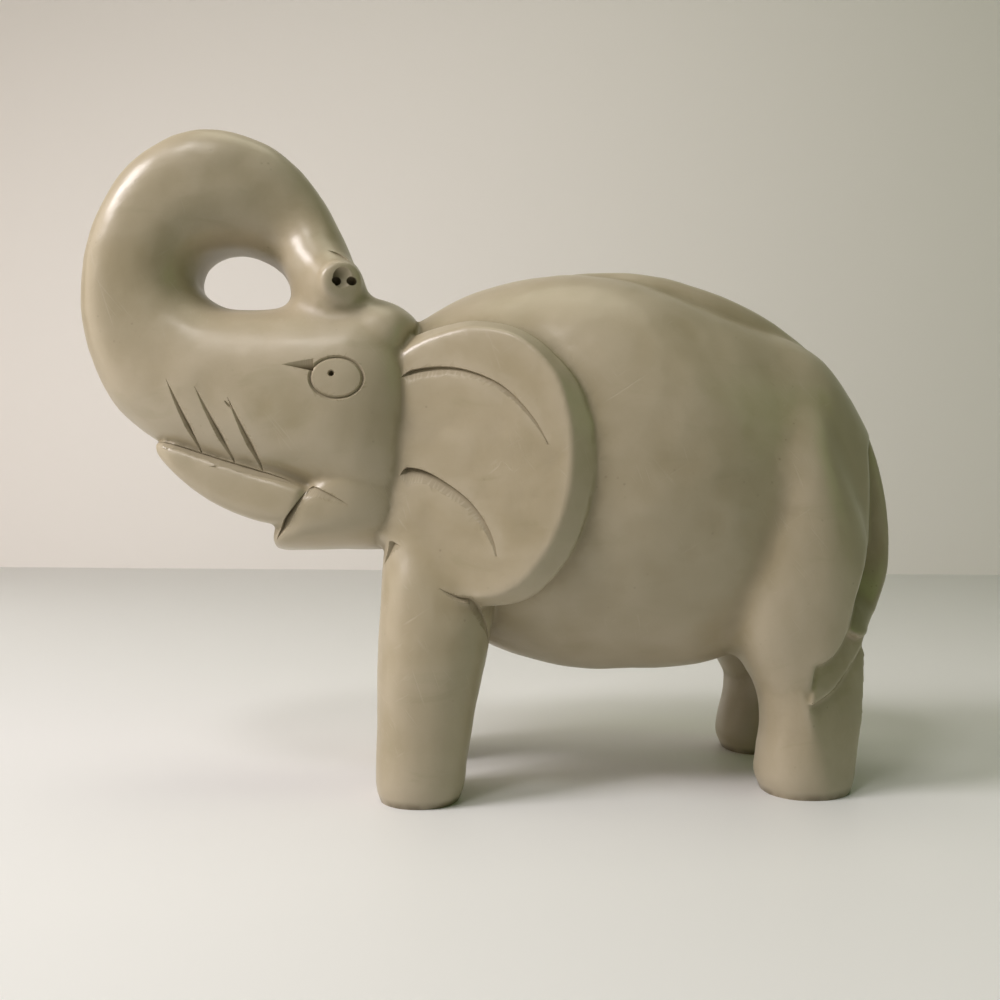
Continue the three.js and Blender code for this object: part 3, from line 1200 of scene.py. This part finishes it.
@dataclass
class Masks:
    """Masks for the finish and for the painted shade, written as attributes of the mesh."""

    names: ClassVar[tuple[str, ...]] = ("wear", "hollow", "cut", "depth")
    broad_passes: int = 14
    soft_passes: int = 3
    full_height: float = 0.11
    least_depth: float = 0.02

    def relief(self, carving: bpy.types.Object) -> np.ndarray:
        """Gives how far each point stands out of its smoothed surroundings, in millimetres."""
        rows, edges = positions(carving), edge_ends(carving)
        smooth = rows
        for _ in range(self.broad_passes):
            smooth = (smooth + neighbour_means(smooth, edges)) / 2
        normals = np.empty(rows.size, np.float32)
        carving.data.vertices.foreach_get("normal", normals)
        height = ((rows - smooth) * normals.reshape(-1, 3)).sum(axis=1, keepdims=True)
        for _ in range(self.soft_passes):
            height = (height + neighbour_means(height, edges)) / 2
        return height[:, 0]

    def depth(self, places: np.ndarray, before: Surface) -> np.ndarray:
        """Gives how deep places lie under the surface as it was before the knife cuts."""
        return np.array([before.tree.find_nearest(Vector(place) * MM)[3] for place in places]) / MM

    def write(self, carving: bpy.types.Object, before: Surface) -> None:
        """Writes the masks.

        Args:
            carving: The cut stone.
            before: Its surface before the knife cuts.
        """
        relief = self.relief(carving) / self.full_height
        centres = np.empty(len(carving.data.polygons) * 3, np.float32)
        carving.data.polygons.foreach_get("center", centres)
        cut = self.depth(centres.reshape(-1, 3) / MM, before) > self.least_depth
        values = {
            "wear": ("POINT", np.clip(relief, 0, 1)),
            # hollow: where the skin lies below its smoothed surroundings, darkened there as painted
            # shade with some grime
            "hollow": ("POINT", np.clip(-relief, 0, 1)),
            "cut": ("FACE", cut.astype(float)),
            "depth": ("POINT", self.depth(positions(carving), before)),
        }
        for name, (domain, numbers) in values.items():
            layer = carving.data.attributes.new(name, "FLOAT", domain)
            layer.data.foreach_set("value", numbers.astype(np.float32))


@dataclass
class Carving:
    """The whole elephant, one stone."""

    barrel: Barrel = field(default_factory=Barrel)
    head: Head = field(default_factory=Head)
    face: Face = field(default_factory=Face)
    tail: Tail = field(default_factory=Tail)
    knifework: Knifework = field(default_factory=Knifework)
    masks: Masks = field(default_factory=Masks)
    voxel: float = 0.55
    rub_passes: int = 4
    # Places where forms run into each other, each with its radius and passes of rubbing: the
    # lobes of the ears, the end of the strap and the pared flats of the rear legs
    soft_places: tuple[tuple[Place, float, int], ...] = (
        ((-19, -27, 52), 14, 120),
        ((-19, 27, 52), 14, 120),
        ((91, -12, 37), 7, 24),
        ((78, -28, 9), 14, 70),
        ((81, 30, 9), 14, 70),
    )
    # Width and height of the marks that hand tools leave
    hand_marks: tuple[Point, ...] = ((14, 0.55), (5, 0.14))
    triangles: int = 175_000
    sole_height: float = 0.3
    crisp_angle: float = 32.0

    def masses(self) -> bpy.types.Object:
        """Makes all the forms and grows them into one skin."""
        rear = [RearLeg(side) for side in Side]
        body = self.barrel.build([leg.thigh() for leg in rear])
        head = self.face.build(self.head.build())
        limbs = [leg.shank() for leg in rear]
        limbs += [FrontLeg(side).build() for side in Side]
        ears = [Ear(side).build() for side in Side]
        tail = self.tail.build(rear[0])
        whole = joined("elephant_carving", [body, head, tail, *limbs, *ears])
        refine(whole, self.voxel)
        for place, radius, passes in self.soft_places:
            rub_near(whole, place, radius, passes)
        rub(whole, self.rub_passes)
        self.work_by_hand(whole)
        return whole

    def work_by_hand(self, carving: bpy.types.Object) -> None:
        """Gives the skin the slight hollows and swells that hand tools leave."""
        for size, height in self.hand_marks:
            texture = bpy.data.textures.new("hand_marks", "CLOUDS")
            texture.noise_scale = size * MM
            texture.noise_depth = 1
            apply_modifier(carving, "DISPLACE", texture=texture, strength=height * MM, mid_level=0.5)

    def thin(self, carving: bpy.types.Object) -> None:
        """Levels the soles and thins the facets where the stone is smooth."""
        bisect_away(carving, Vector((0, 0, 0)), Vector((0, 0, -1)))
        facets = 2 * len(carving.data.polygons)
        apply_modifier(carving, "DECIMATE", ratio=min(1.0, self.triangles / facets))

    def cut(self, carving: bpy.types.Object) -> None:
        """Makes the knife cuts and writes the masks of the cut stone."""
        before = Surface(carving)
        cut_away(carving, self.knifework.tools(before), overlapping=True)
        self.masks.write(carving, before)

    def finish(self, carving: bpy.types.Object) -> None:
        """Sets the stone on the frame's origin and shades it."""
        places = positions(carving)
        places[:, 0] += FRAME_SHIFT_X
        places[places[:, 2] < self.sole_height, 2] = 0
        place_points(carving, places)
        select_only(carving)
        bpy.ops.object.shade_smooth_by_angle(angle=math.radians(self.crisp_angle))

    def build(self) -> bpy.types.Object:
        """Makes the elephant."""
        carving = self.masses()
        self.thin(carving)
        self.cut(carving)
        self.finish(carving)
        return carving


@dataclass
class ShaderPlan:
    """Small helper that adds nodes to a node tree and wires them."""

    tree: bpy.types.NodeTree

    def add(self, kind: str, wires: dict | None = None, **settings: object) -> bpy.types.Node:
        """Adds a node.

        Args:
            kind: Type of the node, without its leading ShaderNode or Node.
            wires: Value of each input by its name or number. A socket is linked, the rest is set.
            settings: Values of the node's own properties.

        Returns:
            The node.
        """
        family = "Node" if kind in ("GroupInput", "GroupOutput") else "ShaderNode"
        node = self.tree.nodes.new(family + kind)
        for name, value in settings.items():
            setattr(node, name, value)
        for name, value in (wires or {}).items():
            self.wire(node.inputs[name], value)
        return node

    def wire(self, socket: bpy.types.NodeSocket, value: object) -> None:
        """Links a socket to another one, or sets its value."""
        if isinstance(value, bpy.types.NodeSocket):
            self.tree.links.new(value, socket)
        else:
            socket.default_value = value

    def math(self, operation: str, first: object, second: object = 0.0) -> bpy.types.NodeSocket:
        """Works out a number from two others, held between 0 and 1."""
        node = self.add("Math", {0: first, 1: second}, operation=operation, use_clamp=True)
        return node.outputs[0]

    def total(self, start: float, parts: tuple[tuple[object, float], ...]) -> bpy.types.NodeSocket:
        """Adds shares of several masks to a number.

        Args:
            start: The number.
            parts: Each mask and its share. A share below 0 is taken off.

        Returns:
            The total, held between 0 and 1.
        """
        total = start
        for mask, share in parts:
            part = self.math("MULTIPLY", mask, abs(share))
            total = self.math("ADD" if share > 0 else "SUBTRACT", total, part)
        return total

    def blend(self, factor: object, first: object, second: object) -> bpy.types.NodeSocket:
        """Blends two colours."""
        node = self.add("Mix", data_type="RGBA")
        colours = [socket for socket in node.inputs if socket.type == "RGBA"]
        self.wire(node.inputs[0], factor)
        self.wire(colours[0], first)
        self.wire(colours[1], second)
        return next(socket for socket in node.outputs if socket.type == "RGBA")

    def steps(self, value: object, low: float, high: float) -> bpy.types.NodeSocket:
        """Stretches the part of a value between two limits to the range from 0 to 1."""
        limits = {"Value": value, "From Min": low, "From Max": high}
        return self.add("MapRange", limits, interpolation_type="SMOOTHSTEP").outputs["Result"]

    def noise(self, place: object, scale: object, detail: float, **more: float) -> bpy.types.NodeSocket:
        """Adds cloudy noise.

        Args:
            place: Place on the stone.
            scale: How many clouds go to a metre.
            detail: How many finer layers lie over the clouds.
            more: Values of the node's other inputs.

        Returns:
            The noise, mostly between 0.3 and 0.7.
        """
        inputs = {"Vector": place, "Scale": scale, "Detail": detail, **more}
        return self.add("TexNoise", inputs).outputs["Fac"]


def pattern_group(name: str, inputs: dict[str, float], outputs: tuple[str, ...]) -> ShaderPlan:
    """Makes an empty node group that takes a place on the stone and numbers.

    Args:
        name: Name of the group.
        inputs: Default of each number that goes in.
        outputs: Names of the masks that come out.

    Returns:
        The plan of the group's nodes.
    """
    group = bpy.data.node_groups.new(name, "ShaderNodeTree")
    group.interface.new_socket("Place", in_out="INPUT", socket_type="NodeSocketVector")
    for label, value in inputs.items():
        socket = group.interface.new_socket(label, in_out="INPUT", socket_type="NodeSocketFloat")
        socket.default_value = value
    for label in outputs:
        group.interface.new_socket(label, in_out="OUTPUT", socket_type="NodeSocketFloat")
    return ShaderPlan(group)


@dataclass(frozen=True)
class Soapstone:
    """Rubbed and waxed soapstone: putty grey, clouded, flecked, scratched and handled, with painted
    shade in its hollows, its cuts and at its soles.
    """

    light: Colour = (0.435, 0.372, 0.262)
    dark: Colour = (0.368, 0.310, 0.202)
    vein: Colour = (0.325, 0.285, 0.175)
    chalk: Colour = (0.52, 0.46, 0.355)
    # Painted shade and grime: darkens the hollows, the deep cuts and the soles
    shade_and_grime: Colour = (0.135, 0.108, 0.060)
    fleck: Colour = (0.21, 0.175, 0.115)
    roughness: float = 0.29
    # Directions in which the stone was rubbed, as turns about Y
    rub_turns: tuple[float, ...] = (0.6, -0.9, 1.9)

    @staticmethod
    def cloud_group() -> bpy.types.NodeTree:
        """Makes the stone's broad clouds and its drawn-out veins."""
        plan = pattern_group("stone_clouds", {"Scale": 26.0}, ("Clouds", "Veins"))
        source = plan.add("GroupInput")
        place, scale = source.outputs["Place"], source.outputs["Scale"]
        broad = plan.noise(place, scale, 4.0, Roughness=0.55, Distortion=0.7)
        lengthways = {"Vector": place, "Rotation": (0.4, 0.7, 0.3), "Scale": (1, 1, 3.2)}
        turned = plan.add("Mapping", lengthways).outputs[0]
        drawn = plan.noise(turned, scale, 6.0, Roughness=0.6, Distortion=1.6)
        clouds = plan.steps(broad, 0.34, 0.66)
        veins = plan.steps(drawn, 0.56, 0.72)
        plan.add("GroupOutput", {"Clouds": clouds, "Veins": veins}, name="result")
        return plan.tree

    @staticmethod
    def fleck_group() -> bpy.types.NodeTree:
        """Makes the small dark flecks and pits."""
        plan = pattern_group("stone_flecks", {"Scale": 420.0, "Size": 0.16}, ("Flecks",))
        source = plan.add("GroupInput")
        place = source.outputs["Place"]
        cells = plan.add("TexVoronoi", {"Vector": place, "Scale": source.outputs["Scale"]})
        sparse = plan.noise(place, 90.0, 2.0)
        near = plan.math("SUBTRACT", source.outputs["Size"], cells.outputs["Distance"])
        sharp = plan.math("MULTIPLY", near, 12.0)
        some = plan.steps(sparse, 0.56, 0.68)
        plan.add("GroupOutput", {"Flecks": plan.math("MULTIPLY", sharp, some)}, name="result")
        return plan.tree

    @staticmethod
    def scratch_group() -> bpy.types.NodeTree:
        """Makes fine scratches in one direction, as the rubbing leaves them."""
        plan = pattern_group("rubbing_scratches", {"Turn": 0.0, "Share": 0.66}, ("Scratches",))
        source = plan.add("GroupInput")
        place = source.outputs["Place"]
        turn = {"Vector": place, "Angle": source.outputs["Turn"]}
        turned = plan.add("VectorRotate", turn, rotation_type="Y_AXIS").outputs[0]
        drawn = plan.add("Mapping", {"Vector": turned, "Scale": (45, 500, 1500)}).outputs[0]
        lines = plan.noise(drawn, 1.0, 2.0, Roughness=0.4)
        patches = plan.noise(place, 55.0, 2.0)
        over = plan.math("SUBTRACT", lines, source.outputs["Share"])
        sharp = plan.math("MULTIPLY", over, 14.0)
        some = plan.steps(patches, 0.48, 0.62)
        plan.add("GroupOutput", {"Scratches": plan.math("MULTIPLY", sharp, some)}, name="result")
        return plan.tree

    @staticmethod
    def pattern(plan: ShaderPlan, tree: bpy.types.NodeTree, place: object, **values: float) -> dict:
        """Adds a pattern group to the material.

        Args:
            plan: Plan of the material's nodes.
            tree: The group.
            place: Place on the stone.
            values: Numbers that go into the group.

        Returns:
            The masks that come out, by their names.
        """
        node = plan.add("Group", node_tree=tree)
        plan.wire(node.inputs["Place"], place)
        for name, value in values.items():
            plan.wire(node.inputs[name], value)
        return {socket.name.lower(): socket for socket in node.outputs}

    def marks(self, plan: ShaderPlan) -> dict:
        """Makes the masks that the colours, the sheen and the fine relief follow.

        Args:
            plan: Plan of the material's nodes.

        Returns:
            The masks by their names.
        """
        place = plan.add("TexCoord").outputs["Object"]
        marks = {
            name: plan.add("Attribute", attribute_name=name).outputs["Fac"] for name in Masks.names
        }
        marks |= self.pattern(plan, self.cloud_group(), place)
        marks |= self.pattern(plan, self.fleck_group(), place)
        tree = self.scratch_group()
        lines = [self.pattern(plan, tree, place, Turn=turn)["scratches"] for turn in self.rub_turns]
        marks["scratches"] = plan.math("MAXIMUM", plan.math("MAXIMUM", lines[0], lines[1]), lines[2])
        marks["bumps"] = plan.noise(place, 900.0, 3.0)
        marks["grain"] = plan.steps(marks["bumps"], 0.35, 0.75)
        broken = plan.steps(plan.noise(place, 160.0, 4.0), 0.3, 0.7)
        # Painted shade and dirt in the knife cuts, darker the deeper the cut goes
        deep = plan.steps(marks["depth"], 0.4, 1.5)
        marks["deep"] = plan.math("MULTIPLY", deep, plan.math("ADD", 0.45, broken))
        # Painted contact shadow, with some grime, in a thin band just above the soles
        height = plan.add("SeparateXYZ", {"Vector": place}).outputs["Z"]
        sole = plan.math("SUBTRACT", 1.0, plan.steps(height, 0.0002, 0.0022))
        marks["sole"] = plan.math("MULTIPLY", sole, plan.math("ADD", 0.35, broken))
        return marks

    def colour(self, plan: ShaderPlan, marks: dict) -> bpy.types.NodeSocket:
        """Lays the stone's colours over each other.

        Args:
            plan: Plan of the material's nodes.
            marks: Masks that the colours follow.

        Returns:
            The colour of the stone.
        """
        # The hollow, deep and sole coats are painted shade, partly grime
        coats = (
            ("veins", 0.45, self.vein),
            ("grain", 0.14, self.dark),
            ("flecks", 0.55, self.fleck),
            ("scratches", 0.22, self.chalk),
            ("wear", 0.35, self.chalk),
            ("hollow", 0.24, self.shade_and_grime),
            ("cut", 0.16, self.chalk),
            ("deep", 1.0, self.shade_and_grime),
            ("sole", 0.75, self.shade_and_grime),
        )
        colour = plan.blend(marks["clouds"], (*self.dark, 1), (*self.light, 1))
        for name, strength, coat in coats:
            factor = plan.math("MULTIPLY", marks[name], strength)
            colour = plan.blend(factor, colour, (*coat, 1))
        return colour

    def material(self) -> bpy.types.Material:
        """Makes the stone's material."""
        stone = bpy.data.materials.new("soapstone")
        stone.use_nodes = True
        shader = stone.node_tree.nodes["Principled BSDF"]
        plan = ShaderPlan(stone.node_tree)
        marks = self.marks(plan)
        plan.wire(shader.inputs["Base Color"], self.colour(plan, marks))
        duller = (("clouds", 0.06), ("cut", 0.3), ("hollow", 0.2), ("scratches", 0.12))
        rough = plan.total(self.roughness, tuple((marks[name], share) for name, share in duller))
        plan.wire(shader.inputs["Roughness"], rough)
        rises = (("bumps", 0.3), ("scratches", -0.25), ("flecks", -0.4))
        height = plan.total(0.4, tuple((marks[name], share) for name, share in rises))
        bump = plan.add("Bump", {"Height": height, "Strength": 0.3, "Distance": 0.0002})
        plan.wire(shader.inputs["Normal"], bump.outputs["Normal"])
        return stone


@dataclass(frozen=True)
class Lamp:
    """Square soft lamp, at a distance from its target in one direction."""

    name: str
    direction: Place
    distance: float
    size: float
    watts: float
    colour: Colour
    target: Place = (0, 0, 80)


@dataclass
class Studio:
    """Pale table and wall, soft light and the camera."""

    camera_place: Place = (-17.55 + FRAME_SHIFT_X, -256.5, 68.5)
    camera_yaw: float = 4.0
    camera_pitch: float = 0.3
    lens: float = 36.0
    sensor: float = 36.0
    wall_distance: float = 1041.0
    wall_turn: float = -10.9
    table_size: float = 6000.0
    lamps: tuple[Lamp, ...] = (
        Lamp("key", (-0.72, -0.28, 0.63), 660, 200, 2.8, (1, 0.94, 0.95)),
        Lamp("left_box", (-0.95, -0.10, 0.30), 1500, 1200, 7.6, (1, 0.88, 0.74)),
        Lamp("top_box", (0, 0.1, 1), 900, 500, 1.5, (1, 0.97, 0.78)),
        Lamp("brow_box", (-0.31, -0.47, 0.83), 700, 130, 0.9, (1, 0.95, 0.92)),
        Lamp("right_glow", (0.85, -0.35, 0.40), 1500, 900, 1.2, (0.5, 1, 0.16)),
        Lamp("wall_wash", (-0.2, -1, 0.1), 560, 400, 0.95, (1, 0.93, 0.92), (-560, 780, 160)),
    )
    table_colour: Colour = (0.84, 0.85, 0.86)
    wall_colour: Colour = (0.89, 0.86, 0.85)
    room_colour: Colour = (0.95, 1, 0.72)
    room_strength: float = 0.05

    def camera(self) -> None:
        """Sets up the camera at the viewing angle."""
        data = bpy.data.cameras.new("camera")
        data.lens = self.lens
        data.sensor_width = self.sensor
        data.sensor_fit = "HORIZONTAL"
        data.clip_start = 0.01
        camera = bpy.data.objects.new("camera", data)
        bpy.context.scene.collection.objects.link(camera)
        camera.location = Vector(self.camera_place) * MM
        tilt = math.radians(90 + self.camera_pitch)
        camera.rotation_euler = (tilt, 0, math.radians(-self.camera_yaw))
        bpy.context.scene.camera = camera

    @staticmethod
    def paint(name: str, colour: Colour, roughness: float) -> bpy.types.Material:
        """Makes a plain material for the table or the wall."""
        plain = bpy.data.materials.new(name)
        plain.use_nodes = True
        shader = plain.node_tree.nodes["Principled BSDF"]
        shader.inputs["Base Color"].default_value = (*colour, 1)
        shader.inputs["Roughness"].default_value = roughness
        return plain

    def surroundings(self) -> None:
        """Makes the table top and the wall behind it."""
        bpy.ops.object.select_all(action="DESELECT")
        bpy.ops.mesh.primitive_plane_add(size=self.table_size * MM, location=(0, 0, 0))
        table = bpy.context.object
        table.name = "table"
        table.data.materials.append(self.paint("table_top", self.table_colour, 0.5))
        yaw = math.radians(self.camera_yaw)
        x = self.camera_place[0] + self.wall_distance * math.sin(yaw)
        y = self.camera_place[1] + self.wall_distance * math.cos(yaw)
        bpy.ops.mesh.primitive_plane_add(
            size=self.table_size * MM,
            location=(x * MM, y * MM, 0),
            rotation=(math.pi / 2, 0, math.radians(self.wall_turn)),
        )
        wall = bpy.context.object
        wall.name = "wall"
        wall.data.materials.append(self.paint("wall_paint", self.wall_colour, 0.7))

    def hang(self, lamp: Lamp) -> None:
        """Adds a lamp, pointed at the carving."""
        data = bpy.data.lights.new(lamp.name, "AREA")
        data.size = lamp.size * MM
        data.energy = lamp.watts
        data.color = lamp.colour
        light = bpy.data.objects.new(lamp.name, data)
        bpy.context.scene.collection.objects.link(light)
        away = Vector(lamp.direction).normalized()
        light.location = (Vector(lamp.target) + away * lamp.distance) * MM
        light.rotation_euler = away.to_track_quat("Z", "Y").to_euler()

    def build(self) -> None:
        """Makes the whole setting."""
        self.camera()
        self.surroundings()
        for lamp in self.lamps:
            self.hang(lamp)
        world = bpy.data.worlds.new("room")
        bpy.context.scene.world = world
        world.use_nodes = True
        background = world.node_tree.nodes["Background"]
        background.inputs["Color"].default_value = (*self.room_colour, 1)
        background.inputs["Strength"].default_value = self.room_strength
        bpy.context.scene.view_settings.view_transform = "Standard"


def main() -> None:
    """Builds the carving and its setting."""
    logging.basicConfig(level=logging.INFO, format="%(message)s")
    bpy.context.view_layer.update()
    carving = Carving().build()
    carving.data.materials.clear()
    carving.data.materials.append(Soapstone().material())
    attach(carving, "root")
    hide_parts(CAD_NODE)
    carving.data.calc_loop_triangles()
    LOG.info("%s: %d triangles", carving.name, len(carving.data.loop_triangles))
    Studio().build()


if __name__ == "__main__":
    main()
